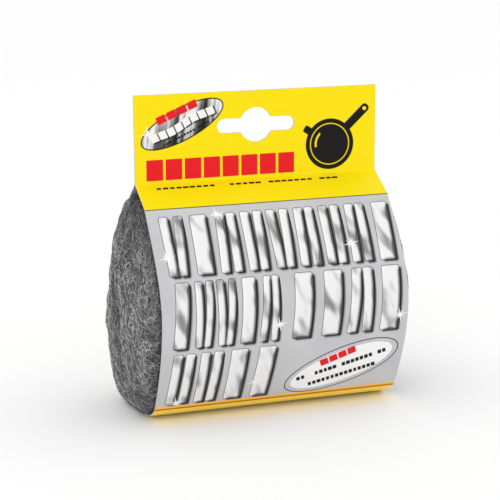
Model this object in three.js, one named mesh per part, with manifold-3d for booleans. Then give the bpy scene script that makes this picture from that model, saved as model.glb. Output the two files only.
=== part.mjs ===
// A hanging pack of two steel wool pads, held in a sleeve folded from one printed card.
//
// Units are millimetres. X runs across the pack, the front faces -Y and +Z is up.
// The origin is at the middle of the flat base, in the header's plane, on the surface that it stands on.
//
// The sleeve is one sheet: the front leaf of the header, the front panel, the bottom panel,
// the back panel and the back leaf of the header, with the two leaves glued together.
// The pads fill it and stand out at both open ends.

import * as THREE from 'three';
import { mergeVertices } from 'three/addons/utils/BufferGeometryUtils.js';
import Module from 'manifold-3d';

const wasm = await Module();
wasm.setup();

// The card

const CARD_WIDTH = 100;
const CARD_THICKNESS = 0.5;
const FOLD_HEIGHT = 90.5; // the fold between the header and the panels
const HEADER_HEIGHT = 34.3;

// Each side of the sleeve leaves the fold, turns at its shoulder crease, swells to its belly,
// and comes in to the crease over the bottom panel. "out" is measured from the header's plane,
// "up" from the base. The reaches are how far each bend's curve holds its direction.
const FRONT = {
  shoulder: { out: 13.7, up: 83.0, lean: 38.5, reach: 18 },
  belly: { out: 35.6, up: 44.0, reachAbove: 14, reachBelow: 13 },
  crease: { out: 22.7, up: 6.0, lean: 31, reach: 12 },
};
const BACK = {
  shoulder: { out: 12.0, up: 81.5, lean: 34, reach: 16 },
  belly: { out: 30.0, up: 42.0, reachAbove: 15, reachBelow: 13 },
  crease: { out: 19.5, up: 6.0, lean: 28, reach: 12 },
};

// The bottom panel is crowned: it drops from each crease at this angle, and is flat in the middle.
const BOTTOM_DROP_ANGLE = 42;
const BASE_HALF_DEPTH = 6;

// The hang slot: a long slot with a round hole in its middle, cut through both header leaves.
const SLOT_LENGTH = 32;
const SLOT_HEIGHT = 5.6;
const SLOT_HOLE_RADIUS = 6.8;
const SLOT_ABOVE_FOLD = 20.8;
const SLOT_SHIFT = -0.7; // the slot is cut a little to the left of the middle

// The wool pads, pushed a little to the left

const CLEARANCE = 0.3; // between a pad and the card, and between the two pads
const OVERHANG_LEFT = 9; // past the card's ends, at the middle of the domes
const OVERHANG_RIGHT = 4;
const PAD_SPLIT = -2.5; // the depth at which the front pad meets the rear pad

// Fineness of the curves

const CURVE_STEPS = 12;
const BOTTOM_STEPS = 8;
const ARC_STEPS = 24;
const DOME_STEPS = 8;

const CARD_MATERIAL = new THREE.MeshStandardMaterial({
  name: 'printed_card', color: 0xfae304, roughness: 0.35, metalness: 0,
});
const WOOL_MATERIAL = new THREE.MeshStandardMaterial({
  name: 'steel_wool', color: 0x6e6e6e, roughness: 0.6, metalness: 0.7,
});

/** The unit direction at an angle in degrees from straight up, towards the outside. */
function leaning(angle) {
  const turn = THREE.MathUtils.degToRad(angle);
  return new THREE.Vector2(Math.sin(turn), Math.cos(turn));
}

/** The outer line of one side of the sleeve, from the fold to the middle of the base. */
function sideLine({ shoulder, belly, crease }) {
  const start = new THREE.Vector2(shoulder.out, shoulder.up);
  const middle = new THREE.Vector2(belly.out, belly.up);
  const end = new THREE.Vector2(crease.out, crease.up);
  const leave = leaning(180 - shoulder.lean).multiplyScalar(shoulder.reach).add(start);
  const arrive = leaning(crease.lean).multiplyScalar(crease.reach).add(end);
  const bottomTurn = crease.out - crease.up / Math.tan(THREE.MathUtils.degToRad(BOTTOM_DROP_ANGLE));

  const upper = new THREE.CubicBezierCurve(
    start, leave, new THREE.Vector2(belly.out, belly.up + belly.reachAbove), middle);
  const lower = new THREE.CubicBezierCurve(
    middle, new THREE.Vector2(belly.out, belly.up - belly.reachBelow), arrive, end);
  const bottom = new THREE.QuadraticBezierCurve(
    end, new THREE.Vector2(bottomTurn, 0), new THREE.Vector2(BASE_HALF_DEPTH, 0));

  return [
    new THREE.Vector2(CARD_THICKNESS, FOLD_HEIGHT),
    ...upper.getPoints(CURVE_STEPS),
    ...lower.getPoints(CURVE_STEPS).slice(1),
    ...bottom.getPoints(BOTTOM_STEPS).slice(1),
  ];
}

/** The sleeve's outer ring in the plane of depth and height: down the front, up the back. */
function outerRing() {
  const front = sideLine(FRONT).map((p) => new THREE.Vector2(-p.x, p.y));
  const back = sideLine(BACK).reverse();
  return [...front, ...back];
}

/** A ring moved inwards by a distance, with mitred corners. The ring runs anticlockwise. */
function inset(ring, distance) {
  return ring.map((point, i) => {
    const before = ring[(i + ring.length - 1) % ring.length];
    const after = ring[(i + 1) % ring.length];
    const arriving = point.clone().sub(before).normalize();
    const leaving = after.clone().sub(point).normalize();
    const inArriving = new THREE.Vector2(-arriving.y, arriving.x);
    const inLeaving = new THREE.Vector2(-leaving.y, leaving.x);
    const mitre = inArriving.add(inLeaving).normalize();
    const stretch = distance / mitre.dot(inLeaving);
    return mitre.multiplyScalar(stretch).add(point);
  });
}

/** A shape drawn in depth and height, extruded along X to a width centred on the origin. */
function acrossPack(shape, width) {
  const geometry = new THREE.ExtrudeGeometry(shape, {
    depth: width, steps: 1, bevelEnabled: false, curveSegments: ARC_STEPS,
  });
  geometry.translate(0, 0, -width / 2);
  // the shape's x, y and the extrusion become Y, Z and X
  return geometry.applyMatrix4(new THREE.Matrix4().makeBasis(
    new THREE.Vector3(0, 1, 0), new THREE.Vector3(0, 0, 1), new THREE.Vector3(1, 0, 0)));
}

/** A closed geometry as a solid that can be cut and joined. */
function solidOf(geometry) {
  const bare = geometry.clone();
  bare.deleteAttribute('normal');
  bare.deleteAttribute('uv');
  const merged = mergeVertices(bare);
  return new wasm.Manifold(new wasm.Mesh({
    numProp: 3,
    vertProperties: new Float32Array(merged.attributes.position.array),
    triVerts: new Uint32Array(merged.index.array),
  }));
}

/** A solid as a geometry. */
function geometryOf(solid) {
  const { vertProperties, triVerts } = solid.getMesh();
  const geometry = new THREE.BufferGeometry();
  geometry.setAttribute('position', new THREE.BufferAttribute(vertProperties, 3));
  geometry.setIndex(new THREE.BufferAttribute(triVerts, 1));
  geometry.computeVertexNormals();
  return geometry;
}

/** The material that leaves the header at the hang slot. */
function slotCutter() {
  const cutDepth = 8 * CARD_THICKNESS;
  const endRadius = SLOT_HEIGHT / 2;
  const reach = SLOT_LENGTH / 2 - endRadius;
  const outline = new THREE.Shape();
  outline.absarc(reach, 0, endRadius, -Math.PI / 2, Math.PI / 2, false);
  outline.absarc(-reach, 0, endRadius, Math.PI / 2, 1.5 * Math.PI, false);
  const slot = new THREE.ExtrudeGeometry(outline, {
    depth: cutDepth, steps: 1, bevelEnabled: false, curveSegments: ARC_STEPS,
  });
  slot.translate(0, 0, -cutDepth / 2);
  slot.rotateX(Math.PI / 2);
  const hole = new THREE.CylinderGeometry(SLOT_HOLE_RADIUS, SLOT_HOLE_RADIUS, cutDepth, 2 * ARC_STEPS);
  return solidOf(slot).add(solidOf(hole)).translate([SLOT_SHIFT, 0, FOLD_HEIGHT + SLOT_ABOVE_FOLD]);
}

function cardSleeve() {
  const ring = outerRing();
  const top = FOLD_HEIGHT + HEADER_HEIGHT;
  const section = new THREE.Shape([
    new THREE.Vector2(-CARD_THICKNESS, top),
    ...ring,
    new THREE.Vector2(CARD_THICKNESS, top),
  ]);
  section.holes.push(new THREE.Path(inset(ring, CARD_THICKNESS)));
  const folded = solidOf(acrossPack(section, CARD_WIDTH));
  const mesh = new THREE.Mesh(geometryOf(folded.subtract(slotCutter())), CARD_MATERIAL);
  mesh.name = 'card_sleeve';
  return mesh;
}

/** Both pads as one mass: it fills the sleeve up to its shoulders, and its ends are domes. */
function woolMass() {
  const outline = inset(outerRing(), CARD_THICKNESS + CLEARANCE).slice(1, -1);
  const middle = new THREE.Vector2(PAD_SPLIT, FOLD_HEIGHT / 2);

  // the outline's places along X, each with its size: from one dome's tip to the other's
  const stations = [];
  for (let i = 0; i <= DOME_STEPS; i += 1) {
    const angle = (i / DOME_STEPS) * (Math.PI / 2);
    stations.push({ x: -CARD_WIDTH / 2 - OVERHANG_LEFT * Math.cos(angle), size: Math.sin(angle) });
  }
  for (let i = 0; i <= DOME_STEPS; i += 1) {
    const angle = (i / DOME_STEPS) * (Math.PI / 2);
    stations.push({ x: CARD_WIDTH / 2 + OVERHANG_RIGHT * Math.sin(angle), size: Math.cos(angle) });
  }

  const positions = stations.flatMap(({ x, size }) => outline.flatMap((point) => {
    const { x: depth, y: height } = middle.clone().lerp(point, size);
    return [x, depth, height];
  }));
  const count = outline.length;
  const faces = [];
  for (let ring = 0; ring < stations.length - 1; ring += 1) {
    for (let i = 0; i < count; i += 1) {
      const here = ring * count + i;
      const next = ring * count + ((i + 1) % count);
      faces.push(here, next, here + count, next, next + count, here + count);
    }
  }
  const geometry = new THREE.BufferGeometry();
  geometry.setAttribute('position', new THREE.Float32BufferAttribute(positions, 3));
  geometry.setIndex(faces);
  return solidOf(geometry);
}

/** One pad: the part of the wool between two depths. */
function woolPad(name, wool, nearest, furthest) {
  const room = new THREE.BoxGeometry(2 * CARD_WIDTH, furthest - nearest, 2 * FOLD_HEIGHT);
  room.translate(0, (nearest + furthest) / 2, 0);
  const mesh = new THREE.Mesh(geometryOf(wool.intersect(solidOf(room))), WOOL_MATERIAL);
  mesh.name = name;
  return mesh;
}

const group = new THREE.Group();
const wool = woolMass();
group.add(cardSleeve());
group.add(woolPad('wool_pad_front', wool, -FRONT.belly.out, PAD_SPLIT - CLEARANCE / 2));
group.add(woolPad('wool_pad_rear', wool, PAD_SPLIT + CLEARANCE / 2, BACK.belly.out));

export default group;
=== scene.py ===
"""A hanging pack of two steel wool pads in a sleeve folded from one printed card.

The frame gives the pack's construction in metres: X across the pack, the front faces -Y, +Z up.
The sleeve and the pads are remade here as fine meshes in the same places. The card's printing is
worked out in millimetres on the flat sheet: across it from its middle, and along it from the fold
under the header.
"""
from math import cos, pi, radians, sin, tan

import bmesh
import bpy
import numpy as np
from mathutils import Matrix, Vector, noise


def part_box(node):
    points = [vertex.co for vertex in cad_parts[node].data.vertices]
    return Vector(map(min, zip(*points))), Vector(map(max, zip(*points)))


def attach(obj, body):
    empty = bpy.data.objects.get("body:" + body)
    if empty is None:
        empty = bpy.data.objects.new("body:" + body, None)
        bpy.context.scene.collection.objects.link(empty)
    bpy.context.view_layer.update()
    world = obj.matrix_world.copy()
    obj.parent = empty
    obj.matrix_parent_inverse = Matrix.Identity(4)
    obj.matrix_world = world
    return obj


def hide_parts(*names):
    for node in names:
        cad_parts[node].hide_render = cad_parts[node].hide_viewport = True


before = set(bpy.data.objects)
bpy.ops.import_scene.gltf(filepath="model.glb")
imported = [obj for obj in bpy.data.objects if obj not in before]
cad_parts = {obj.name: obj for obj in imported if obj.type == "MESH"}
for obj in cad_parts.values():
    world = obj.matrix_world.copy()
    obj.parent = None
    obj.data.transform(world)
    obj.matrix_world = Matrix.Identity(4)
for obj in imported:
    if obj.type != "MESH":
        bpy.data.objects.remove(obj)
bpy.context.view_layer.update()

MM = 0.001
BODY = "root"

# ---------------------------------------------------------------- the card, in millimetres

CARD_THICKNESS = 0.5
LEAF_GAP = 0.04  # between the two glued leaves of the header
FOLD_HEIGHT = 90.5
FRONT = {
    "shoulder": (13.7, 83.0), "shoulder_lean": 38.5, "shoulder_reach": 18,
    "belly": (35.6, 44.0), "belly_reach": (14, 13),
    "crease": (22.7, 6.0), "crease_lean": 31, "crease_reach": 12,
}
BACK = {
    "shoulder": (12.0, 81.5), "shoulder_lean": 34, "shoulder_reach": 16,
    "belly": (30.0, 42.0), "belly_reach": (15, 13),
    "crease": (19.5, 6.0), "crease_lean": 28, "crease_reach": 12,
}
BOTTOM_DROP_ANGLE = 42
BASE_HALF_DEPTH = 6
SHARP_ANGLE = 35  # a wider turn between two faces is shaded as an edge
CREASE_ROUNDING = 0.9  # the card turns its creases over this length on each side
CREASE_LEAD = 0.5  # a straight stretch outside each rounding
CREASE_STEPS = 8
SAME_PLACE = 1e-6
CURVE_STEPS = 40
BOTTOM_STEPS = 24

SLOT_LENGTH = 32.0
SLOT_HEIGHT = 5.6
SLOT_HOLE_RADIUS = 6.8
SLOT_ABOVE_FOLD = 20.8
SLOT_SHIFT = -0.7
SLOT_CORNER = 0.9  # the rounding where the slot opens into its hole
SLOT_CUT_DEPTH = 3.0  # how far the cut reaches on each side of the header


def millimetres(corners):
    return [tuple(value / MM for value in corner) for corner in corners]


CARD_LOW, CARD_HIGH = millimetres(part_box("card_sleeve"))
CARD_LEFT, CARD_RIGHT = CARD_LOW[0], CARD_HIGH[0]
HEADER_TOP = CARD_HIGH[2]


# ---------------------------------------------------------------- node trees as expressions

class Nodes:
    """A node tree under construction. Its one method makes every node."""

    def __init__(self, tree):
        self.tree = tree
        tree.nodes.clear()

    def node(self, kind, settings=None, values=None, output=0):
        """A node of a kind, with its settings and then its sockets' values or links."""
        made = self.tree.nodes.new(kind)
        for key, value in (settings or {}).items():
            if key == "stops":
                self.set_stops(made.color_ramp, value)
            else:
                setattr(made, key, value)
        for key, value in (values or {}).items():
            if isinstance(value, Field):
                self.tree.links.new(value.socket, made.inputs[key])
            else:
                made.inputs[key].default_value = value
        return Field(self, made.outputs[output]) if made.outputs else made

    @staticmethod
    def set_stops(ramp, stops):
        while len(ramp.elements) < len(stops):
            ramp.elements.new(1.0)
        for element, (place, colour) in zip(ramp.elements, stops):
            element.position = place
            element.color = colour if isinstance(colour, tuple) else (colour, colour, colour, 1.0)


class Shade(Nodes):
    """A material under construction."""

    def __init__(self, name):
        self.material = bpy.data.materials.new(name)
        self.material.use_nodes = True
        super().__init__(self.material.node_tree)

    def noise(self, place, scale, detail):
        """Soft noise from 0 to 1, with a scale in lumps for each unit of the place."""
        return self.node(
            "ShaderNodeTexNoise", {}, {"Vector": place, "Scale": scale, "Detail": detail})

    def bump(self, height, strength, distance):
        """A normal that follows a height. The distance is in metres."""
        return self.node(
            "ShaderNodeBump", {}, {"Strength": strength, "Distance": distance, "Height": height})

    def finished(self, **values):
        """The material, with a Principled surface of these values. A _ stands for a space."""
        values = {name.replace("_", " "): value for name, value in values.items()}
        surface = self.node("ShaderNodeBsdfPrincipled", {}, values)
        self.node("ShaderNodeOutputMaterial", {}, {"Surface": surface})
        return self.material


def as_math(operation, reflected=False):
    """A method of Field that adds one Math node."""
    def method(self, *others):
        inputs = (others[0], self) if reflected else (self, *others)
        return self.nodes.node("ShaderNodeMath", {"operation": operation}, dict(enumerate(inputs)))
    return method


class Field:
    """A value that changes from place to place: the output of a node, with arithmetic."""

    def __init__(self, nodes, socket):
        self.nodes = nodes
        self.socket = socket

    __add__ = __radd__ = as_math("ADD")
    __sub__ = as_math("SUBTRACT")
    __rsub__ = as_math("SUBTRACT", reflected=True)
    __mul__ = __rmul__ = as_math("MULTIPLY")
    __truediv__ = as_math("DIVIDE")
    __rtruediv__ = as_math("DIVIDE", reflected=True)
    __abs__ = as_math("ABSOLUTE")
    __lt__ = as_math("LESS_THAN")
    __gt__ = as_math("GREATER_THAN")
    least = as_math("MINIMUM")
    most = as_math("MAXIMUM")
    root = as_math("SQRT")
    floor = as_math("FLOOR")
    sine = as_math("SINE")

    def __neg__(self):
        return self * -1.0

    def squared(self):
        return self * self

    def ramp(self, low, high, start=0.0, end=1.0):
        """Eases from start to end as this value goes from low to high."""
        return self.nodes.node(
            "ShaderNodeMapRange", {"interpolation_type": "SMOOTHSTEP"},
            {0: self, 1: low, 2: high, 3: start, 4: end})


OBJECT_PLACE = 3  # which output of Texture Coordinate gives the place on the object


def mixed(shade, factor, first, second):
    """A colour between two, by a factor from 0 to 1."""
    return shade.node("ShaderNodeMix", {"data_type": "RGBA"}, {0: factor, 6: first, 7: second}, 2)


def grey(level):
    return (level, level, level, 1.0)


def linear(red, green, blue):
    """A shader colour from everyday 0 to 255 values."""
    def channel(value):
        value /= 255
        return value / 12.92 if value <= 0.04045 else ((value + 0.055) / 1.055) ** 2.4
    return (channel(red), channel(green), channel(blue), 1.0)


# ---------------------------------------------------------------- shapes of print

EDGE = 0.13  # how softly ink ends, in millimetres


def turned(x, y, centre, angle):
    """The place measured from a centre, along axes turned by an angle in degrees."""
    c, s = cos(radians(angle)), sin(radians(angle))
    across, along = x - centre[0], y - centre[1]
    return across * c + along * s, along * c - across * s


def oval(x, y, half_length, half_height):
    """The distance outside an oval, less than 0 inside it."""
    reach = ((x / half_length).squared() + (y / half_height).squared()).root()
    slope = ((x / half_length ** 2).squared() + (y / half_height ** 2).squared()).root()
    return reach * (reach - 1.0) / slope.most(0.001)


def disc(x, y, centre, radius):
    """The distance outside a disc, less than 0 inside it."""
    return ((x - centre[0]).squared() + (y - centre[1]).squared()).root() - radius


def bar(x, y, half_length, half_height, corner):
    """The distance outside a bar with rounded corners, less than 0 inside it."""
    over = abs(x) - (half_length - corner)
    above = abs(y) - (half_height - corner)
    outside = (over.most(0.0).squared() + above.most(0.0).squared()).root()
    return outside + over.most(above).least(0.0) - corner


def inked(distance, edge=EDGE):
    """1 inside a shape and 0 outside it."""
    return distance.ramp(-edge, edge, 1.0, 0.0)


def line_of(distance, width):
    """1 on a shape's outline."""
    return inked(abs(distance) - width / 2)


RAY_ANGLE = 12


def sparkle(x, y, centre, size):
    """How bright a glint is at each place: four long rays and four short ones between them."""
    glow = None
    for angle, reach in ((RAY_ANGLE, size), (RAY_ANGLE + 45, 0.62 * size)):
        across, along = turned(x, y, centre, angle)
        across, along = abs(across), abs(along)
        for major, minor in ((across, along), (along, across)):
            ray = 1.0 - major / reach - minor / (0.11 * size)
            glow = ray if glow is None else glow.most(ray)
    return glow.ramp(0.0, 0.35)


# ---------------------------------------------------------------- the printed card's material

YELLOW = linear(243, 219, 0)
RED = linear(226, 22, 32)
INK = linear(16, 14, 14)
SILVER_DARK = linear(187, 187, 190)
SILVER_LIGHT = linear(197, 197, 199)
PAPER_WHITE = linear(240, 240, 240)
# the band's yellow print, darkened to orange as painted shade near the bottom crease
BAND_PAINTED_SHADE = linear(246, 188, 60)
# a dark orange line along each bottom crease
CREASE_DARK_ORANGE = linear(190, 98, 20)
# the bottom panel's yellow print, made paler as painted light from the floor
BOTTOM_YELLOW_PAINTED_LIGHT = linear(255, 222, 84)
RULE = linear(88, 80, 38)
BOARD_DARK = linear(176, 171, 182)
BOARD_LIGHT = linear(204, 200, 208)

BAND_HEIGHT = 1.9
CREASE_LINE = 1.0  # the width of the line along each bottom crease
RULE_WIDTH = 0.44

BADGE_CENTRE = (-30.8, 22.5)
BADGE_TILT = 25.0
CHROME_STOPS = ((0.32, 0.012), (0.44, 0.1), (0.52, 0.5), (0.6, 0.85), (0.7, 0.3))
PAN_CENTRE = (30.4, 11.4)
PAN_RADIUS = 10.2
OVAL_CENTRE = (24.7, -87.3)
OVAL_TILT = 20.0
OVAL_PRINT = (
    {"centre": (24.4, -86.6), "tilt": 16.6, "half_length": 19.0, "seed": 5.0},
    {"centre": (26.2, -91.3), "tilt": 15.8, "half_length": 16.0, "seed": 31.0},
)

ROWS = (  # the rows of steel bars: top and bottom along the sheet, left end, pitch, number
    {"top": -18.5, "bottom": -43.6, "left": -46.6, "pitch": 10.68, "bars": 9, "seed": 3.0},
    {"top": -45.8, "bottom": -71.9, "left": -46.4, "pitch": 8.8, "bars": 5, "seed": 41.0},
    {"top": -45.8, "bottom": -71.9, "left": 0.4, "pitch": 12.1, "bars": 4, "seed": 63.0},
    {"top": -74.0, "bottom": -98.6, "left": -46.9, "pitch": 11.1, "bars": 4, "seed": 77.0},
)
UNSPLIT_SHARE = 0.45  # how many of the bars are whole
WHOLE_BAR = 0.31  # half the width of a whole bar and of a split one, as shares of the pitch
SPLIT_BAR = 0.175
SPLIT_OFFSET = 0.22  # from the middle to each half, as a share of the pitch
BAR_SLANT = 3  # degrees
MOST_LEAN = 1.1  # twice the most that a bar's end moves sideways, in millimetres
BAR_SHADOW = (1.1, -0.9)
DARKEST_STEEL = 0.11

SPARKLES = (  # the centres of the glints
    (-22.4, -18.9), (29.2, -35.6), (-3.3, -65.3), (46.6, -65.9),
    (-10.9, -91.0), (-45.2, -35.7), (-41.9, -98.0), (-44.6, 19.4),
)
SPARKLE_REACH = 4.3


def small_print(shade, colour, x, y, centre, tilt, half_length, pitch, half_height, seed):
    """A line of dashes of uneven length, with a gap here and there."""
    run, rise = turned(x, y, centre, tilt)
    cell = (run / pitch).floor()
    chance = shade.node("ShaderNodeTexWhiteNoise", {"noise_dimensions": "1D"}, {"W": cell + seed})
    half_dash = (0.3 + chance * 0.15) * pitch
    dash = bar(run - (cell + 0.5) * pitch, rise, half_dash, half_height, half_height * 0.3)
    kept = (chance > 0.12) * (abs(cell + 0.5) < half_length / pitch)
    return mixed(shade, inked(dash) * kept, colour, INK)


def blocks(x, y, centre, tilt, count, pitch, half_height, gap):
    """The distance outside a row of equal blocks, less than 0 inside them."""
    run, rise = turned(x, y, centre, tilt)
    run = run + count * pitch / 2
    cell = (run / pitch).floor().most(0.0).least(count - 1.0)
    return bar(run - (cell + 0.5) * pitch, rise, (pitch - gap) / 2, half_height, 0.3)


def paint_badge(shade, colour, x, y):
    """A chrome badge, tilted, with a wave of white chips along it and red blocks over it."""
    across, along = turned(x, y, BADGE_CENTRE, BADGE_TILT)
    badge = oval(across, along, half_length=18.0, half_height=6.2)
    mottle = shade.node(
        "ShaderNodeTexNoise", {"noise_dimensions": "1D"},
        {"W": across * 0.16 - along * 0.1 + 4.0, "Scale": 1.0, "Detail": 2.0})
    chrome = shade.node("ShaderNodeValToRGB", {"stops": CHROME_STOPS}, {0: mottle + along * 0.012})
    colour = mixed(shade, inked(badge), colour, chrome)

    wave = (across * 0.35).sine() * 0.45 - 0.2
    size = {"count": 8, "pitch": 3.5, "half_height": 1.6, "gap": 0.5}
    chips = blocks(across, along - wave, centre=(0.0, 0.0), tilt=0.0, **size)
    cast = blocks(across, along - wave, centre=(0.5, -0.55), tilt=0.0, **size)
    shadow = cast.ramp(-0.2, 0.4, 1.0, 0.0) * inked(badge)
    colour = mixed(shade, shadow, colour, grey(0.01))
    colour = mixed(shade, inked(chips), colour, grey(0.86))
    colour = mixed(shade, line_of(badge, 0.5), colour, INK)
    colour = small_print(
        shade, colour, x, y, centre=(-29.2, 18.7), tilt=BADGE_TILT,
        half_length=10.0, pitch=1.3, half_height=0.42, seed=9.0)
    flash = blocks(
        x, y, centre=(-33.0, 27.2), tilt=22.8, count=4, pitch=4.5, half_height=1.55, gap=0.6)
    return mixed(shade, inked(flash), colour, RED)


def paint_pan(shade, colour, x, y):
    """A frying pan seen from above."""
    pan = disc(x, y, PAN_CENTRE, PAN_RADIUS)
    handle = bar(
        *turned(x, y, centre=(41.3, 21.4), angle=43.0), half_length=7.2, half_height=1.75, corner=1.6)
    hole = disc(x, y, (45.2, 25.0), 0.8)
    lip = bar(
        *turned(x, y, centre=(21.6, 17.0), angle=147.0), half_length=2.4, half_height=1.5, corner=0.8)
    colour = mixed(shade, inked(pan.least(handle).least(lip).most(-hole)), colour, INK)
    colour = mixed(shade, line_of(pan + 2.0, 0.4), colour, YELLOW)

    # a bright arc inside the rim, at the upper left
    right, up = x - PAN_CENTRE[0], y - PAN_CENTRE[1]
    shine = line_of(pan + 4.2, 0.8) * inked(right + up * 0.4 + 2.4) * inked(-1.0 - up)
    return mixed(shade, shine, colour, YELLOW)


def paint_header(shade, colour, x, y):
    """The badge, a row of red blocks, a line of small print and the pan."""
    colour = paint_badge(shade, colour, x, y)
    row = blocks(
        x, y, centre=(-15.1, 5.0), tilt=0.0, count=8, pitch=7.72, half_height=4.1, gap=1.0)
    colour = mixed(shade, inked(row), colour, RED)
    colour = small_print(
        shade, colour, x, y, centre=(-5.0, -3.3), tilt=0.0,
        half_length=39.0, pitch=2.7, half_height=0.55, seed=2.0)
    return paint_pan(shade, colour, x, y)


def paint_row(shade, colour, x, y, top, bottom, left, pitch, bars, seed):
    """A row of raised steel bars, some split in two, with their shadows and reflections."""
    middle, half_height = (top + bottom) / 2, (top - bottom) / 2
    cell = ((x - left) / pitch).floor()
    within = (cell > -0.5) * (cell < bars - 0.5)

    def chance(shift):
        return shade.node(
            "ShaderNodeTexWhiteNoise", {"noise_dimensions": "1D"}, {"W": cell + (seed + shift)})

    split = chance(0.0) > UNSPLIT_SHARE
    lean = (chance(0.3) - 0.5) * MOST_LEAN
    half_width = (WHOLE_BAR - split * (WHOLE_BAR - SPLIT_BAR)) * pitch

    def bar_at(shift_x, shift_y):
        height = y - middle - shift_y
        slant = height * tan(radians(BAR_SLANT))
        local = x - left - (cell + 0.5) * pitch - slant - shift_x
        taper = lean * height / half_height
        local = abs(local + taper * 0.4) - split * (SPLIT_OFFSET * pitch + taper)
        return bar(local, height, half_width, half_height, corner=1.0)

    cast = bar_at(*BAR_SHADOW)
    edge = bar_at(0.0, 0.0)
    colour = mixed(shade, cast.ramp(-0.8, 0.5, 1.0, 0.0) * within, colour, grey(0.008))
    where = shade.node("ShaderNodeCombineXYZ", {}, {0: x * 0.16 + y * 0.05, 1: y * 0.075, 2: seed})
    reflection = shade.noise(where, 1.0, 1.0).ramp(0.47, 0.72)
    rim = edge.ramp(-1.5, 0.0)  # brighter on the side away from the shadow
    level = 0.8 + rim * ((cast - edge) * 0.34 - 0.34) - reflection * 0.55
    level = level.most(DARKEST_STEEL)
    face = shade.node("ShaderNodeCombineColor", {}, {0: level, 1: level, 2: level})
    colour = mixed(shade, inked(edge) * within, colour, face)
    return mixed(shade, line_of(edge, 0.3) * within * 0.8, colour, grey(0.02))


def paint_oval(shade, colour, x, y):
    """The tilted oval at the lower right, with four red blocks and two lines of small print."""
    across, along = turned(x, y, OVAL_CENTRE, OVAL_TILT)
    outline = oval(across, along, half_length=24.0, half_height=9.3)
    colour = mixed(shade, line_of(outline, 0.42), colour, INK)
    paper = oval(across, along, half_length=21.6, half_height=7.6)
    colour = mixed(shade, inked(paper), colour, PAPER_WHITE)
    red = blocks(
        x, y, centre=(22.3, -82.1), tilt=22.0, count=4, pitch=3.9, half_height=1.6, gap=0.5)
    colour = mixed(shade, inked(red), colour, RED)
    for line in OVAL_PRINT:
        colour = small_print(shade, colour, x, y, pitch=1.9, half_height=0.95, **line)
    return colour


def paint_front(shade, colour, x, y):
    """What is printed on the front alone: the header's print, the bars, the oval and the glints."""
    colour = paint_header(shade, colour, x, y)
    for row in ROWS:
        colour = paint_row(shade, colour, x, y, **row)
    colour = paint_oval(shade, colour, x, y)
    glints = None
    for centre in SPARKLES:
        glint = sparkle(x, y, centre, SPARKLE_REACH)
        glints = glint if glints is None else glints.most(glint)
    return mixed(shade, glints, colour, PAPER_WHITE)


def printed_card_material(sheet):
    """Yellow header, silver panels and their print. sheet holds the creases' places."""
    shade = Shade("printed_card")
    place = shade.node("ShaderNodeUVMap", {"uv_map": "sheet"})
    x = shade.node("ShaderNodeSeparateXYZ", {}, {0: place}, 0)
    y = shade.node("ShaderNodeSeparateXYZ", {}, {0: place}, 1)
    on_back = y < sheet["middle"]
    down = on_back * (y + y - sheet["back_fold"]) - y  # the distance below either fold
    shoulder = on_back * (sheet["back_shoulder"] - sheet["shoulder"]) + sheet["shoulder"]
    crease = on_back * (sheet["back_crease"] - sheet["crease"]) + sheet["crease"]

    # the silver ink is a little uneven, as metallic ink is
    object_place = shade.node("ShaderNodeTexCoord", {}, {}, OBJECT_PLACE)
    cloud = shade.noise(object_place, 45.0, 3.0)
    silver = mixed(shade, cloud.ramp(0.3, 0.7), SILVER_DARK, SILVER_LIGHT)

    below_line = (down - shoulder).ramp(-EDGE, EDGE)
    colour = mixed(shade, below_line, YELLOW, silver)
    colour = mixed(shade, line_of(down - shoulder, RULE_WIDTH), colour, RULE)

    colour = mixed(shade, 1.0 - on_back, colour, paint_front(shade, colour, x, y))

    # the band over each bottom crease, its yellow darkened to orange as painted shade, the yellow
    # under it made paler as painted light from the floor, and a dark orange line along each crease
    below_band = (down - crease).ramp(-BAND_HEIGHT - EDGE, -BAND_HEIGHT + EDGE)
    colour = mixed(shade, below_band, colour, BAND_PAINTED_SHADE)
    colour = mixed(shade, (down - crease).ramp(0.0, 0.4), colour, BOTTOM_YELLOW_PAINTED_LIGHT)
    colour = mixed(shade, line_of(down - crease + 0.3, CREASE_LINE), colour, CREASE_DARK_ORANGE)

    grain = shade.noise(object_place, 2600.0, 2.0)
    return shade.finished(
        Base_Color=colour, Roughness=cloud * 0.12 + 0.34, Specular_IOR_Level=0.15,
        Normal=shade.bump(grain, 0.06, 0.1 * MM))


def raw_card_material():
    """The unprinted side and the cut edges: grey board with flecks of fibre."""
    shade = Shade("raw_card")
    place = shade.node("ShaderNodeTexCoord", {}, {}, OBJECT_PLACE)
    fleck = shade.noise(place, 900.0, 4.0)
    tone = fleck * 0.6 + shade.noise(place, 120.0, 2.0) * 0.4
    return shade.finished(
        Base_Color=mixed(shade, tone.ramp(0.35, 0.65), BOARD_DARK, BOARD_LIGHT),
        Roughness=0.8, Specular_IOR_Level=0.2, Normal=shade.bump(fleck, 0.15, 0.2 * MM))


# ---------------------------------------------------------------- the card's form

def bezier(points, steps):
    """Points along a Bezier curve of any degree, by repeated mixing of its handles."""
    along = np.linspace(0.0, 1.0, steps + 1)[:, None]
    layer = [np.array(p, float)[None, :].repeat(steps + 1, 0) for p in points]
    while len(layer) > 1:
        layer = [a * (1 - along) + b * along for a, b in zip(layer, layer[1:])]
    return layer[0]


def leaning(angle):
    return np.array([sin(radians(angle)), cos(radians(angle))])


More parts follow.
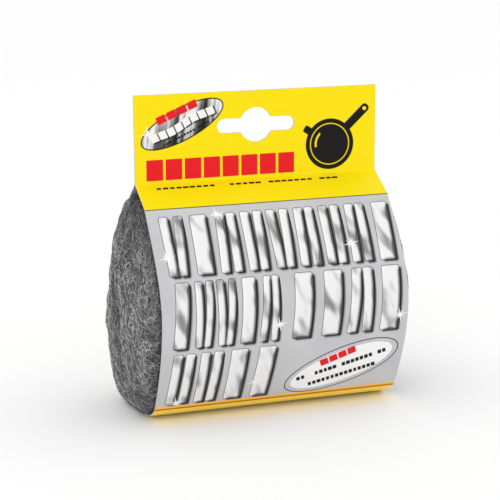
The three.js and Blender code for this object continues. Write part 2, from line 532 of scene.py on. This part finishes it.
def side_line(side):
    """One side's outer line, as out and up, from the fold to the flat of the base."""
    shoulder, belly, crease = (np.array(side[k], float) for k in ("shoulder", "belly", "crease"))
    above, below = side["belly_reach"]
    leave = shoulder + leaning(180 - side["shoulder_lean"]) * side["shoulder_reach"]
    arrive = crease + leaning(side["crease_lean"]) * side["crease_reach"]
    turn = (crease[0] - crease[1] / tan(radians(BOTTOM_DROP_ANGLE)), 0.0)
    upper = bezier([shoulder, leave, belly + (0, above), belly], CURVE_STEPS)
    lower = bezier([belly, belly - (0, below), arrive, crease], CURVE_STEPS)
    bottom = bezier([crease, turn, (BASE_HALF_DEPTH, 0.0)], BOTTOM_STEPS)
    return [np.array([[CARD_THICKNESS, FOLD_HEIGHT], shoulder]), upper, lower, bottom]


def measured(line):
    """The distance along a line to each of its points."""
    return np.concatenate([[0.0], np.cumsum(np.linalg.norm(np.diff(line, axis=0), axis=1))])


def joined(stretches):
    """Stretches end to end, without the doubled points."""
    return np.concatenate([stretches[0]] + [stretch[1:] for stretch in stretches[1:]])


def with_soft_creases(line, creases):
    """The line with each crease turned over a short length, with a curve in place of its corner."""
    places = measured(line)
    outer_reach = CREASE_ROUNDING + CREASE_LEAD

    def at(place):
        return np.array([np.interp(place, places, line[:, k]) for k in (0, 1)])

    result = [line[0]]
    for point, place in zip(line[1:], places[1:]):
        distance = min(abs(place - crease) for crease in creases)
        if distance < SAME_PLACE:
            ends = [at(place - CREASE_ROUNDING), point, at(place + CREASE_ROUNDING)]
            result.append(at(place - outer_reach))
            result.extend(bezier(ends, CREASE_STEPS))
            result.append(at(place + outer_reach))
        elif distance > outer_reach:
            result.append(point)
    return np.array(result)


def beside(line, distance):
    """The line moved to its left by a distance, with mitred corners."""
    step = np.diff(line, axis=0)
    step /= np.linalg.norm(step, axis=1)[:, None]
    left = np.stack([-step[:, 1], step[:, 0]], 1)
    before, after = np.vstack([left[:1], left]), np.vstack([left, left[-1:]])
    mitre = before + after
    mitre /= np.linalg.norm(mitre, axis=1)[:, None]
    return line + mitre * (distance / (mitre * after).sum(1))[:, None]


def card_path():
    """The sheet's outer line as depth and height, and where its creases lie along it."""
    front, back = side_line(FRONT), side_line(BACK)
    lengths = {}
    for name, stretches in (("", front), ("back_", back)):
        folded = measured(joined(stretches))
        lengths[name + "shoulder"] = folded[1]
        lengths[name + "crease"] = folded[1 + 2 * CURVE_STEPS]
    header = HEADER_TOP - FOLD_HEIGHT
    front_line = joined(front) * (-1, 1)
    back_line = joined(back)[::-1]
    top = np.array([[-CARD_THICKNESS, HEADER_TOP]])
    line = np.concatenate([top, front_line, back_line, top * (-1, 1)])
    front_length = measured(front_line)[-1]
    back_length = measured(back_line)[-1]
    whole = header + front_length + 2 * BASE_HALF_DEPTH + back_length
    creases = [
        header, header + lengths["shoulder"], header + lengths["crease"],
        whole - lengths["back_crease"], whole - lengths["back_shoulder"], whole,
    ]
    sheet = dict(lengths)
    sheet["middle"] = -(front_length + BASE_HALF_DEPTH)
    sheet["back_fold"] = -(whole - header)
    return with_soft_creases(line, creases), header, sheet


PRINTED, RAW = 0, 1  # the card's materials, in their order on the mesh

# The bake's map: a flat layout of every face, with most of its room for the printed front.
# The scales are map units for each millimetre of card.
BAKE_MAP = "OFBake"
FLAT_PARTS = {  # the lower left corner and the scale of each
    "front": ((0.004, 0.004), 0.0059),
    "back": ((0.635, 0.005), 0.0035),
    "raw": ((0.64, 0.585), 0.00125),
}
SIDE_STRIPS = {"left": 0.80, "right": 0.83}  # the cut edges stand beside the raw side
END_CORNER = (0.86, 0.60)
END_SCALE = 0.001125
END_PITCH = 0.03
STRIP_WIDTH = 0.012
SLOT_CORNER_ON_MAP = (0.86, 0.70)
SLOT_CELL = 0.008
SLOT_CELLS = 17  # in a row
SLOT_CELL_FILL = 0.4  # how far a wall reaches from its cell's middle, as a share of the cell
SMALLEST_PLACE = 1e-5


def baked_place(side, part, x, along, sheet):
    """Where a point of the card lies on the bake's map."""
    across = x - CARD_LEFT
    inside = STRIP_WIDTH * (side == "inner")
    if part == "end":
        step = END_PITCH * (along > sheet["middle"])
        return (END_CORNER[0] + across * END_SCALE, END_CORNER[1] + inside + step)
    corner, scale = FLAT_PARTS["raw" if part in SIDE_STRIPS else part]
    start = sheet["middle"] - BASE_HALF_DEPTH if part == "front" else sheet["end"]
    up = corner[1] + (along - start) * scale
    if part in SIDE_STRIPS:
        return (SIDE_STRIPS[part] + inside, up)
    return (corner[0] + across * scale, up)


def card_mesh(name, materials):
    """The folded sheet as one closed mesh, with its map of the flat sheet and its bake's map."""
    outer, header, sheet = card_path()
    inner = beside(outer, CARD_THICKNESS - LEAF_GAP / 2)
    along = header - measured(outer)
    stations = len(outer)
    form = bmesh.new()
    flat = form.loops.layers.uv.new("sheet")
    baked = form.loops.layers.uv.new(BAKE_MAP)
    sheet["end"] = along[-1]

    def row(line, x):
        return [form.verts.new((x * MM, y * MM, z * MM)) for y, z in line]

    rows = {(side, x): row(line, x)
            for side, line in (("outer", outer), ("inner", inner))
            for x in (CARD_LEFT, CARD_RIGHT)}

    def face(part, corners):
        made = form.faces.new([rows[side, x][i] for side, x, i in corners])
        made.material_index = PRINTED if part in ("front", "back") else RAW
        for loop, (side, x, i) in zip(made.loops, corners):
            loop[flat].uv = (x, along[i])
            loop[baked].uv = baked_place(side, part, x, along[i], sheet)

    left, right = CARD_LEFT, CARD_RIGHT
    for i in range(stations - 1):
        j = i + 1
        face("front" if (along[i] + along[j]) / 2 > sheet["middle"] else "back",
             [("outer", left, i), ("outer", left, j), ("outer", right, j), ("outer", right, i)])
        face("raw",
             [("inner", left, i), ("inner", right, i), ("inner", right, j), ("inner", left, j)])
        face("left",
             [("outer", left, i), ("inner", left, i), ("inner", left, j), ("outer", left, j)])
        face("right",
             [("outer", right, i), ("outer", right, j), ("inner", right, j), ("inner", right, i)])
    for i, (a, b) in ((0, (left, right)), (stations - 1, (right, left))):
        face("end", [("outer", a, i), ("outer", b, i), ("inner", b, i), ("inner", a, i)])
    mesh = bpy.data.meshes.new(name)
    form.normal_update()
    form.to_mesh(mesh)
    form.free()
    for material in materials(sheet):
        mesh.materials.append(material)
    return mesh


def slot_outline():
    """The hang slot's outline, anticlockwise, about its centre."""
    half = SLOT_HEIGHT / 2
    reach = SLOT_LENGTH / 2 - half
    # a small circle rounds each corner between the slot's straight edge and the hole
    corner_up = half + SLOT_CORNER
    corner_out = ((SLOT_HOLE_RADIUS + SLOT_CORNER) ** 2 - corner_up ** 2) ** 0.5
    towards = np.arctan2(corner_up, corner_out)

    def arc(x, y, radius, start, end, points):
        turns = np.linspace(start, end, points)
        return [(x + radius * cos(t), y + radius * sin(t)) for t in turns]

    quarter = (arc(reach, 0, half, 0, pi / 2, 14)
               + arc(corner_out, corner_up, SLOT_CORNER, -pi / 2, towards - pi, 6)
               + arc(0, 0, SLOT_HOLE_RADIUS, towards, pi / 2, 16))
    upper = quarter + [(-x, y) for x, y in reversed(quarter[:-1])]
    return upper + [(x, -y) for x, y in reversed(upper[1:-1])]


def cut_slot(piece):
    """Cuts the hang slot through both leaves of the header."""
    form = bmesh.new()
    depth = SLOT_CUT_DEPTH * MM
    centre = FOLD_HEIGHT + SLOT_ABOVE_FOLD
    ring = [form.verts.new(((x + SLOT_SHIFT) * MM, -depth, (y + centre) * MM))
            for x, y in slot_outline()]
    made = form.faces.new(ring)
    moved = bmesh.ops.extrude_face_region(form, geom=[made])["geom"]
    for vert in (g for g in moved if isinstance(g, bmesh.types.BMVert)):
        vert.co.y += 2 * depth
    bmesh.ops.recalc_face_normals(form, faces=form.faces)
    mesh = bpy.data.meshes.new("slot_cutter")
    form.to_mesh(mesh)
    form.free()
    mesh.materials.append(piece.data.materials[RAW])
    cutter = bpy.data.objects.new("slot_cutter", mesh)
    bpy.context.collection.objects.link(cutter)
    cut = piece.modifiers.new("slot", "BOOLEAN")
    cut.object = cutter
    cut.solver = "EXACT"
    cut.material_mode = "TRANSFER"
    flattened(piece)
    bpy.data.objects.remove(cutter)
    place_slot_walls(piece.data)


def place_slot_walls(mesh):
    """Gives each wall of the slot a cell of its own on the bake's map."""
    baked = mesh.uv_layers[BAKE_MAP].data
    reach = SLOT_CELL_FILL * SLOT_CELL
    cell = 0
    for wall in mesh.polygons:
        corners = [baked[loop].uv for loop in wall.loop_indices]
        if max((corner - corners[0]).length for corner in corners) > SMALLEST_PLACE:
            continue
        row, column = divmod(cell, SLOT_CELLS)
        across = SLOT_CORNER_ON_MAP[0] + SLOT_CELL * (column + 0.5)
        up = SLOT_CORNER_ON_MAP[1] + SLOT_CELL * (row + 0.5)
        for number, loop in enumerate(wall.loop_indices):
            turn = 2 * pi * number / wall.loop_total
            baked[loop].uv = (across + reach * cos(turn), up + reach * sin(turn))
        cell += 1


def flattened(piece):
    """Turns a piece's live modifiers into plain mesh."""
    bpy.context.view_layer.update()
    graph = bpy.context.evaluated_depsgraph_get()
    mesh = bpy.data.meshes.new_from_object(piece.evaluated_get(graph))
    piece.modifiers.clear()
    piece.data = mesh


def make_card():
    def materials(sheet):
        return printed_card_material(sheet), raw_card_material()

    piece = bpy.data.objects.new("folded_card", card_mesh("folded_card", materials))
    bpy.context.collection.objects.link(piece)
    cut_slot(piece)
    piece.data.shade_smooth()
    piece.data.set_sharp_from_angle(angle=radians(SHARP_ANGLE))
    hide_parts("card_sleeve")
    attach(piece, BODY)
    return piece


# ---------------------------------------------------------------- the wool's materials

FIBRE_LAYERS = (  # how many lumps for each metre, the width of a line, and its brightness
    (330, 0.030, 0.75), (420, 0.035, 0.9), (520, 0.04, 0.6),
    (640, 0.045, 1.0), (800, 0.05, 0.8), (260, 0.022, 0.95),
)


def noted_on(shade, name):
    """A number that the mesh carries under a name."""
    return shade.node("ShaderNodeAttribute", {"attribute_name": name}, {}, 2)


def tangle(shade, place, scale, seed, width):
    """Curly lines all over a surface: where a cloud crosses its middle value."""
    cloud = shade.node(
        "ShaderNodeTexNoise", {"noise_dimensions": "4D"},
        {"Vector": place, "W": seed, "Scale": scale, "Detail": 1.0, "Distortion": 0.6})
    return abs(cloud - 0.5).ramp(0.0, width, 1.0, 0.0)


def matted_wool_material():
    """The body of the wool: tangled fine fibres over darker gaps."""
    shade = Shade("matted_steel_wool")
    place = shade.node("ShaderNodeTexCoord", {}, {}, OBJECT_PLACE)
    fibres = None
    for number, (scale, width, level) in enumerate(FIBRE_LAYERS):
        layer = tangle(shade, place, scale, 3.7 * number, width) * level
        fibres = layer if fibres is None else fibres.most(layer)
    broad = shade.noise(place, 110.0, 4.0)
    # the fibres' tone is darkened by the painted shade noted on the mesh
    tone = (fibres * 0.7 + broad.ramp(0.35, 0.65) * 0.3) * noted_on(shade, "open")
    return shade.finished(
        Base_Color=mixed(shade, tone, grey(0.04), grey(0.54)), Metallic=0.55, Roughness=0.5,
        Normal=shade.bump(fibres, 0.8, 0.3 * MM))


def strand_material():
    """The loose strands: bright steel, each of its own tone."""
    shade = Shade("steel_wool_strands")
    place = shade.node("ShaderNodeTexCoord", {}, {}, OBJECT_PLACE)
    along = shade.noise(place, 400.0, 1.0)
    # each strand's tone is darkened by the painted shade noted on the mesh
    bright = noted_on(shade, "tone").squared() * (along + 0.5) * noted_on(shade, "open")
    return shade.finished(
        Base_Color=mixed(shade, bright, grey(0.06), grey(0.87)), Metallic=0.8,
        Roughness=along * 0.2 + 0.25)


# ---------------------------------------------------------------- the wool's form

PAD_LOW, PAD_HIGH = millimetres(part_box("wool_pad_front"))
REAR_LOW, _ = millimetres(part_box("wool_pad_rear"))
OVERHANG_LEFT = CARD_LEFT - PAD_LOW[0]
OVERHANG_RIGHT = PAD_HIGH[0] - CARD_RIGHT
PAD_CLEARANCE = REAR_LOW[1] - PAD_HIGH[1]
PAD_SPLIT = (REAR_LOW[1] + PAD_HIGH[1]) / 2
WOOL_MIDDLE = np.array([PAD_SPLIT, FOLD_HEIGHT / 2])
HUMP_HEIGHT = 87.0  # the handles that lift the wool's top between the shoulders
HUMP_HANDLES = 0.35  # how far out they stand, as a share of the way to the shoulders
DOME_STEPS = 26
WOOL_VOXEL = 1.4
SMOOTHING_ROUNDS = 6
HUMP_STEPS = 24
SAG_HEIGHTS = (62, 12)  # none above the first, all of it below the second
REAR_DEPTHS = (-12, 18)  # where the front of the wool becomes its rear
LEFT_REACH = 0.92  # of the overhang, because the lumps add the rest
PUFF_REACH = 7.0  # the dome swells most at half this distance past the card
TIP_SIZE = 1e-4
FLOOR_GAP = 0.15


def wool_outline():
    """The wool's outline inside the card, as depth and height, and closed over its top."""
    front = joined(side_line(FRONT)) * (-1, 1)
    back = joined(side_line(BACK))[::-1]
    line = beside(np.concatenate([front, back]), CARD_THICKNESS + PAD_CLEARANCE)[1:-1]
    start, end = line[0], line[-1]
    rise, fall = ((point[0] * HUMP_HANDLES, HUMP_HEIGHT) for point in (end, start))
    hump = bezier([end, rise, fall, start], HUMP_STEPS)
    return np.concatenate([line, hump[1:-1]])


def outward_of(ring):
    """The outward direction at each point of a closed ring that runs anticlockwise."""
    run = np.roll(ring, -1, 0) - np.roll(ring, 1, 0)
    out = np.stack([run[:, 1], -run[:, 0]], 1)
    return out / np.linalg.norm(out, axis=1)[:, None]


def eased(value, low, high):
    t = np.clip((value - low) / (high - low), 0, 1)
    return t * t * (3 - 2 * t)


def wool_mass():
    """Both pads as one mass, from the tip of its left dome to the tip of its right one."""
    ring = wool_outline()
    out = outward_of(ring)
    low = eased(ring[:, 1], *SAG_HEIGHTS)
    rearward = eased(ring[:, 0], *REAR_DEPTHS)
    form = bmesh.new()
    hoops = []

    def hoop(x, section):
        hoops.append([form.verts.new((a * MM, y * MM, z * MM))
                      for a, (y, z) in zip(x, section)])

    def dome(side, angle, overhang, fullness, swell):
        """One hoop of a dome: angle 0 at the tip, and a right angle at the card's end."""
        size = np.maximum(sin(angle), TIP_SIZE) ** (2 / fullness)
        reach = overhang * cos(angle) ** (2 / fullness)
        puff = swell * np.sin(np.minimum(reach / PUFF_REACH, 1.0) * pi) * size ** 4
        section = WOOL_MIDDLE + (ring - WOOL_MIDDLE) * size[:, None] + out * puff[:, None]
        section[:, 1] = np.maximum(section[:, 1], FLOOR_GAP + 0.1)
        end = CARD_LEFT if side < 0 else CARD_RIGHT
        hoop(end + side * reach, section)

    even = np.ones(len(ring))
    angles = np.linspace(0, pi / 2, DOME_STEPS)
    for angle in angles:
        fullness = 2.0 + (0.5 + 0.35 * rearward) * low
        swell = 0.2 + 0.5 * low * rearward
        dome(-1, angle, even * OVERHANG_LEFT * LEFT_REACH, fullness, swell)
    for angle in angles[::-1]:
        dome(1, angle, even * OVERHANG_RIGHT, 1.7 * even, 0.3 * even)
    for first, second in zip(hoops, hoops[1:]):
        for i in range(len(ring)):
            j = (i + 1) % len(ring)
            form.faces.new([first[i], first[j], second[j], second[i]])
    form.faces.new(hoops[0][::-1])
    form.faces.new(hoops[-1])
    bmesh.ops.recalc_face_normals(form, faces=form.faces)
    return form


def one_pad(name, side):
    """The mass on one side of the split, remeshed and softened."""
    form = wool_mass()
    geometry = form.verts[:] + form.edges[:] + form.faces[:]
    cut = (0, (PAD_SPLIT + side * PAD_CLEARANCE / 2) * MM, 0)
    bmesh.ops.bisect_plane(
        form, geom=geometry, plane_co=cut, plane_no=(0, -side, 0), clear_outer=True)
    bmesh.ops.holes_fill(form, edges=[e for e in form.edges if e.is_boundary])
    bmesh.ops.triangulate(form, faces=form.faces)
    mesh = bpy.data.meshes.new(name)
    form.to_mesh(mesh)
    form.free()
    piece = bpy.data.objects.new(name, mesh)
    bpy.context.collection.objects.link(piece)
    remesh = piece.modifiers.new("even_faces", "REMESH")
    remesh.mode = "VOXEL"
    remesh.voxel_size = WOOL_VOXEL * MM
    soften = piece.modifiers.new("soft_edges", "SMOOTH")
    soften.iterations = SMOOTHING_ROUNDS
    flattened(piece)
    return piece


def of_vertices(mesh, name):
    """Every vertex's place or normal, as rows of three."""
    values = np.empty(len(mesh.vertices) * 3)
    mesh.vertices.foreach_get(name, values)
    return values.reshape(-1, 3)


def note(mesh, name, values):
    """Keeps a number for each vertex under a name."""
    mesh.attributes.new(name, "FLOAT", "POINT").data.foreach_set("value", values)


LUMPS = (  # size in millimetres, seed, height in millimetres, and how X, Y and Z are stretched
    (16.0, 1, 1.5, (1, 1, 0.6)),
    (7.0, 2, 0.8, (1, 1, 1)),
    (3.4, 3, 0.35, (1, 1, 1)),
)
PRESSED_IN = 0.25  # how far the card presses the wool in
CROWN_HEIGHTS = (80, 83)  # loose fibre also stands on the wool's top, just inside the card's ends
CROWN_DEPTHS = (9, 6)
CROWN_ENDS = (-9, -6)


def lumps(places, size, seed):
    """Smooth noise about zero, with lumps of a size in millimetres."""
    shift = Vector((seed * 17.0, seed * 5.0, seed * 29.0))
    return np.array([noise.noise(Vector(p) / size + shift) for p in places])


def knead(mesh):
    """Presses in the wool's lumps, and notes on each vertex its painted light: painted shade inside
    and near the card's ends and in the hollows between lumps, brighter towards the rear.
    """
    places = of_vertices(mesh, "co") / MM
    beyond = np.maximum(CARD_LEFT - places[:, 0], places[:, 0] - CARD_RIGHT)
    free = eased(beyond, -0.5, 2.5)
    wave = sum(lumps(places * stretch, size, seed) * height
               for size, seed, height, stretch in LUMPS)
    push = wave * free - (1 - free) * PRESSED_IN
    places += of_vertices(mesh, "normal") * push[:, None]
    places[:, 2] = np.maximum(places[:, 2], FLOOR_GAP)
    mesh.vertices.foreach_set("co", (places * MM).ravel())
    mesh.update()
    # painted shade: darker inside and just past the card's ends, where the card shades the wool, and
    # in the hollows between lumps; brighter towards the rear
    painted_card_shade = 0.35 + 0.65 * eased(beyond, -0.5, 3.5)
    painted_hollow_shade = np.clip(0.82 + wave * 0.3, 0.4, 1.1)
    brighter_towards_rear = 0.95 + 0.3 * eased(places[:, 1], 5, 28)
    note(mesh, "open", painted_card_shade * painted_hollow_shade * brighter_towards_rear)


def mark_loose(mesh):
    """Notes on each vertex how much loose fibre stands there: past the card's ends."""
    places = of_vertices(mesh, "co") / MM
    high = eased(places[:, 2], *CROWN_HEIGHTS)
    central = eased(abs(places[:, 1]), *CROWN_DEPTHS)
    for name, beyond in (("loose_left", CARD_LEFT - places[:, 0]),
                         ("loose_right", places[:, 0] - CARD_RIGHT)):
        crown = high * eased(beyond, *CROWN_ENDS) * central
        note(mesh, name, np.maximum(eased(beyond, -0.3, 0.6), crown))


def make_pad(name, node, side, material):
    piece = one_pad(name, side)
    knead(piece.data)
    finer = piece.modifiers.new("finer", "SUBSURF")
    finer.levels = finer.render_levels = 1
    flattened(piece)
    piece.data.materials.append(material)
    piece.data.shade_smooth()
    mark_loose(piece.data)
    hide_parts(node)
    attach(piece, BODY)
    return piece


# ---------------------------------------------------------------- the wool's loose strands

STRAND_INPUTS = {  # lengths in metres
    "Strands per square metre": 980000.0,
    "Length": 6.4 * MM,
    "Thickness": 0.078 * MM,
    "Curl": 1.6 * MM,
    "Curl size": 2.1 * MM,
    "Lift": 0.28 * MM,
}
STRAND_POINTS = 10
STRAND_SIZES = (0.5, 1.4)  # from the shortest to the longest, as shares of the length
STRAND_SEEDS = {"front": {"left": 15, "right": 16}, "rear": {"left": 27, "right": 28}}


class Strands(Nodes):
    """Geometry nodes for short curly strands, strewn over a surface and lying along it."""

    def __init__(self, tree):
        super().__init__(tree)
        self.given = tree.nodes.new("NodeGroupInput")
        self.surface = self.taken("Geometry")

    def taken(self, name):
        """One of the tree's own inputs."""
        return Field(self, self.given.outputs[name])

    def random(self, low, high, offset):
        """A different number for each strand."""
        return self.node(
            "FunctionNodeRandomValue", {"data_type": "FLOAT"},
            {2: low, 3: high, 8: self.taken("Seed") + offset}, 1)

    def strewn(self):
        """Straight lines at points all over the surface, each turned its own way."""
        points = self.node("GeometryNodeDistributePointsOnFaces", {}, {
            "Mesh": self.surface, "Seed": self.taken("Seed"),
            "Density": self.taken("Strands per square metre") * self.taken("Where")})
        upright = Field(self, points.socket.node.outputs["Rotation"])
        spin = self.node("ShaderNodeCombineXYZ", {}, {2: self.random(0.0, 2 * pi, 1)})
        spin = self.node("FunctionNodeEulerToRotation", {}, {0: spin})
        facing = self.node(
            "FunctionNodeRotateRotation", {"rotation_space": "LOCAL"}, {0: upright, 1: spin})
        half = self.taken("Length") * 0.5
        start = self.node("ShaderNodeCombineXYZ", {}, {0: -half})
        end = self.node("ShaderNodeCombineXYZ", {}, {0: half})
        line = self.node("GeometryNodeCurvePrimitiveLine", {}, {"Start": start, "End": end})
        line = self.node(
            "GeometryNodeResampleCurve", {}, {"Curve": line, "Count": STRAND_POINTS})
        strands = self.node("GeometryNodeInstanceOnPoints", {}, {
            "Points": points, "Instance": line, "Rotation": facing,
            "Scale": self.random(*STRAND_SIZES, 2)})
        for name, most, offset in (("tone", 1.0, 3), ("own", 50.0, 4)):
            strands = self.node("GeometryNodeStoreNamedAttribute", {"domain": "INSTANCE"}, {
                "Geometry": strands, "Name": name, "Value": self.random(0.0, most, offset)})
        return self.node("GeometryNodeRealizeInstances", {}, {"Geometry": strands})

    def sampled(self, kind):
        """A value of the surface, at its nearest place to each point."""
        return self.node("GeometryNodeSampleNearestSurface", {"data_type": "FLOAT_VECTOR"}, {
            "Mesh": self.surface, "Value": self.node(kind),
            "Sample Position": self.node("GeometryNodeInputPosition")})

    def curled(self, strands):
        """The strands bent by noise, and laid back on the surface with a little lift."""
        own = self.node("GeometryNodeInputNamedAttribute", {}, {"Name": "own"})
        place = self.node("GeometryNodeInputPosition")
        scaled = self.node(
            "ShaderNodeVectorMath", {"operation": "SCALE"},
            {0: place, "Scale": 1.0 / self.taken("Curl size")})
        bend = self.node(
            "ShaderNodeTexNoise", {"noise_dimensions": "4D"},
            {"Vector": scaled, "W": own, "Scale": 1.0, "Detail": 1.0}, "Color")
        bend = self.node(
            "ShaderNodeVectorMath", {"operation": "SUBTRACT"}, {0: bend, 1: (0.5, 0.5, 0.5)})
        bend = self.node(
            "ShaderNodeVectorMath", {"operation": "SCALE"},
            {0: bend, "Scale": self.taken("Curl") * 2.0})
        strands = self.node(
            "GeometryNodeSetPosition", {}, {"Geometry": strands, "Offset": bend})

        beneath = self.sampled("GeometryNodeInputPosition")
        normal = self.sampled("GeometryNodeInputNormal")
        rise = self.node(
            "ShaderNodeTexNoise", {"noise_dimensions": "4D"},
            {"Vector": scaled, "W": own + 7.0, "Scale": 1.3})
        lift = self.node(
            "ShaderNodeVectorMath", {"operation": "SCALE"},
            {0: normal, "Scale": self.taken("Lift") * rise.ramp(0.25, 0.8, 0.1, 1.6)})
        raised = self.node("ShaderNodeVectorMath", {"operation": "ADD"}, {0: beneath, 1: lift})
        return self.node(
            "GeometryNodeSetPosition", {}, {"Geometry": strands, "Position": raised})

    def thickened(self, strands):
        """The strands as three-sided rods, the brighter ones thicker."""
        tone = self.node("GeometryNodeInputNamedAttribute", {}, {"Name": "tone"})
        section = self.node(
            "GeometryNodeCurvePrimitiveCircle", {}, {"Resolution": 3, "Radius": 1.0})
        return self.node("GeometryNodeCurveToMesh", {}, {
            "Curve": strands, "Profile Curve": section, "Fill Caps": True,
            "Scale": self.taken("Thickness") * (0.6 + tone * 0.9)})


def strand_tree(material):
    """The tree that strews strands of a material over a mesh."""
    tree = bpy.data.node_groups.new("loose_strands", "GeometryNodeTree")
    face = tree.interface
    face.new_socket("Geometry", in_out="INPUT", socket_type="NodeSocketGeometry")
    face.new_socket("Where", in_out="INPUT", socket_type="NodeSocketFloat")
    for name in STRAND_INPUTS:
        face.new_socket(name, in_out="INPUT", socket_type="NodeSocketFloat")
    face.new_socket("Seed", in_out="INPUT", socket_type="NodeSocketInt")
    face.new_socket("Geometry", in_out="OUTPUT", socket_type="NodeSocketGeometry")
    nodes = Strands(tree)
    strands = nodes.thickened(nodes.curled(nodes.strewn()))
    strands = nodes.node("GeometryNodeRealizeInstances", {}, {"Geometry": strands})
    strands = nodes.node(
        "GeometryNodeSetMaterial", {}, {"Geometry": strands, "Material": material})
    nodes.node("NodeGroupOutput", {}, {0: strands})
    return tree


def make_strands(name, pad, where, seed, tree):
    piece = bpy.data.objects.new(name, pad.data.copy())
    bpy.context.collection.objects.link(piece)
    strew = piece.modifiers.new("strands", "NODES")
    strew.node_group = tree
    sockets = {item.name: item.identifier for item in tree.interface.items_tree
               if item.in_out == "INPUT"}
    strew[sockets["Where"] + "_use_attribute"] = True
    strew[sockets["Where"] + "_attribute_name"] = where
    for key, value in STRAND_INPUTS.items():
        strew[sockets[key]] = value
    strew[sockets["Seed"]] = seed
    flattened(piece)
    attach(piece, BODY)


def make_wool():
    matted = matted_wool_material()
    tree = strand_tree(strand_material())
    front = make_pad("front_wool_pad", "wool_pad_front", -1, matted)
    rear = make_pad("rear_wool_pad", "wool_pad_rear", 1, matted)
    for which, pad in (("front", front), ("rear", rear)):
        for end, seed in STRAND_SEEDS[which].items():
            make_strands(f"{which}_strands_{end}", pad, f"loose_{end}", seed, tree)


# ---------------------------------------------------------------- stage, light and camera

FLOOR_SIZE = 6.0  # metres
WORLD_STRENGTH = 1.05
LAMP_AIM = (0.0, 0.0, 0.06)
LAMPS = (  # name, place and size in metres, and power in watts
    ("key_light", (-0.9, -1.3, 1.2), 0.9, 3.4),
    ("fill_light", (1.4, -0.9, 0.6), 1.2, 0.6),
)
CAMERA_AZIMUTH = -19.0
CAMERA_ELEVATION = 13.0
CAMERA_ROLL = -0.2
CAMERA_DISTANCE = 0.640
CAMERA_AIM = (-0.0032, 0.0, 0.0609)
CAMERA_LENS = 115.6


def make_stage():
    bpy.ops.mesh.primitive_plane_add(size=FLOOR_SIZE, location=(0, 0, 0))
    floor = bpy.context.object
    floor.name = "floor"
    shade = Shade("pale_floor")
    pale = shade.finished(Base_Color=grey(0.93), Roughness=0.9, Specular_IOR_Level=0.1)
    floor.data.materials.append(pale)


def make_light():
    world = bpy.data.worlds.new("studio")
    world.use_nodes = True
    background = world.node_tree.nodes["Background"]
    background.inputs["Color"].default_value = grey(1.0)
    background.inputs["Strength"].default_value = WORLD_STRENGTH
    bpy.context.scene.world = world
    for name, place, size, power in LAMPS:
        lamp = bpy.data.lights.new(name, "AREA")
        lamp.size = size
        lamp.energy = power
        box = bpy.data.objects.new(name, lamp)
        box.matrix_world = looking(Vector(place), Vector(LAMP_AIM))
        bpy.context.collection.objects.link(box)


def looking(place, aim, roll=0.0):
    """A transform at a place whose -Z axis points at the aim, rolled by an angle in degrees."""
    turn = (aim - place).to_track_quat("-Z", "Y").to_matrix().to_4x4()
    return Matrix.Translation(place) @ turn @ Matrix.Rotation(radians(roll), 4, "Z")


def make_camera():
    azimuth, elevation = radians(CAMERA_AZIMUTH), radians(CAMERA_ELEVATION)
    aim = Vector(CAMERA_AIM)
    back = Vector((sin(azimuth) * cos(elevation), -cos(azimuth) * cos(elevation), sin(elevation)))
    lens = bpy.data.cameras.new("camera")
    lens.lens = CAMERA_LENS
    camera = bpy.data.objects.new("camera", lens)
    camera.matrix_world = looking(aim + back * CAMERA_DISTANCE, aim, CAMERA_ROLL)
    bpy.context.collection.objects.link(camera)
    bpy.context.scene.camera = camera
    bpy.context.scene.view_settings.view_transform = "Standard"


make_camera()
make_stage()
make_light()
make_card()
make_wool()
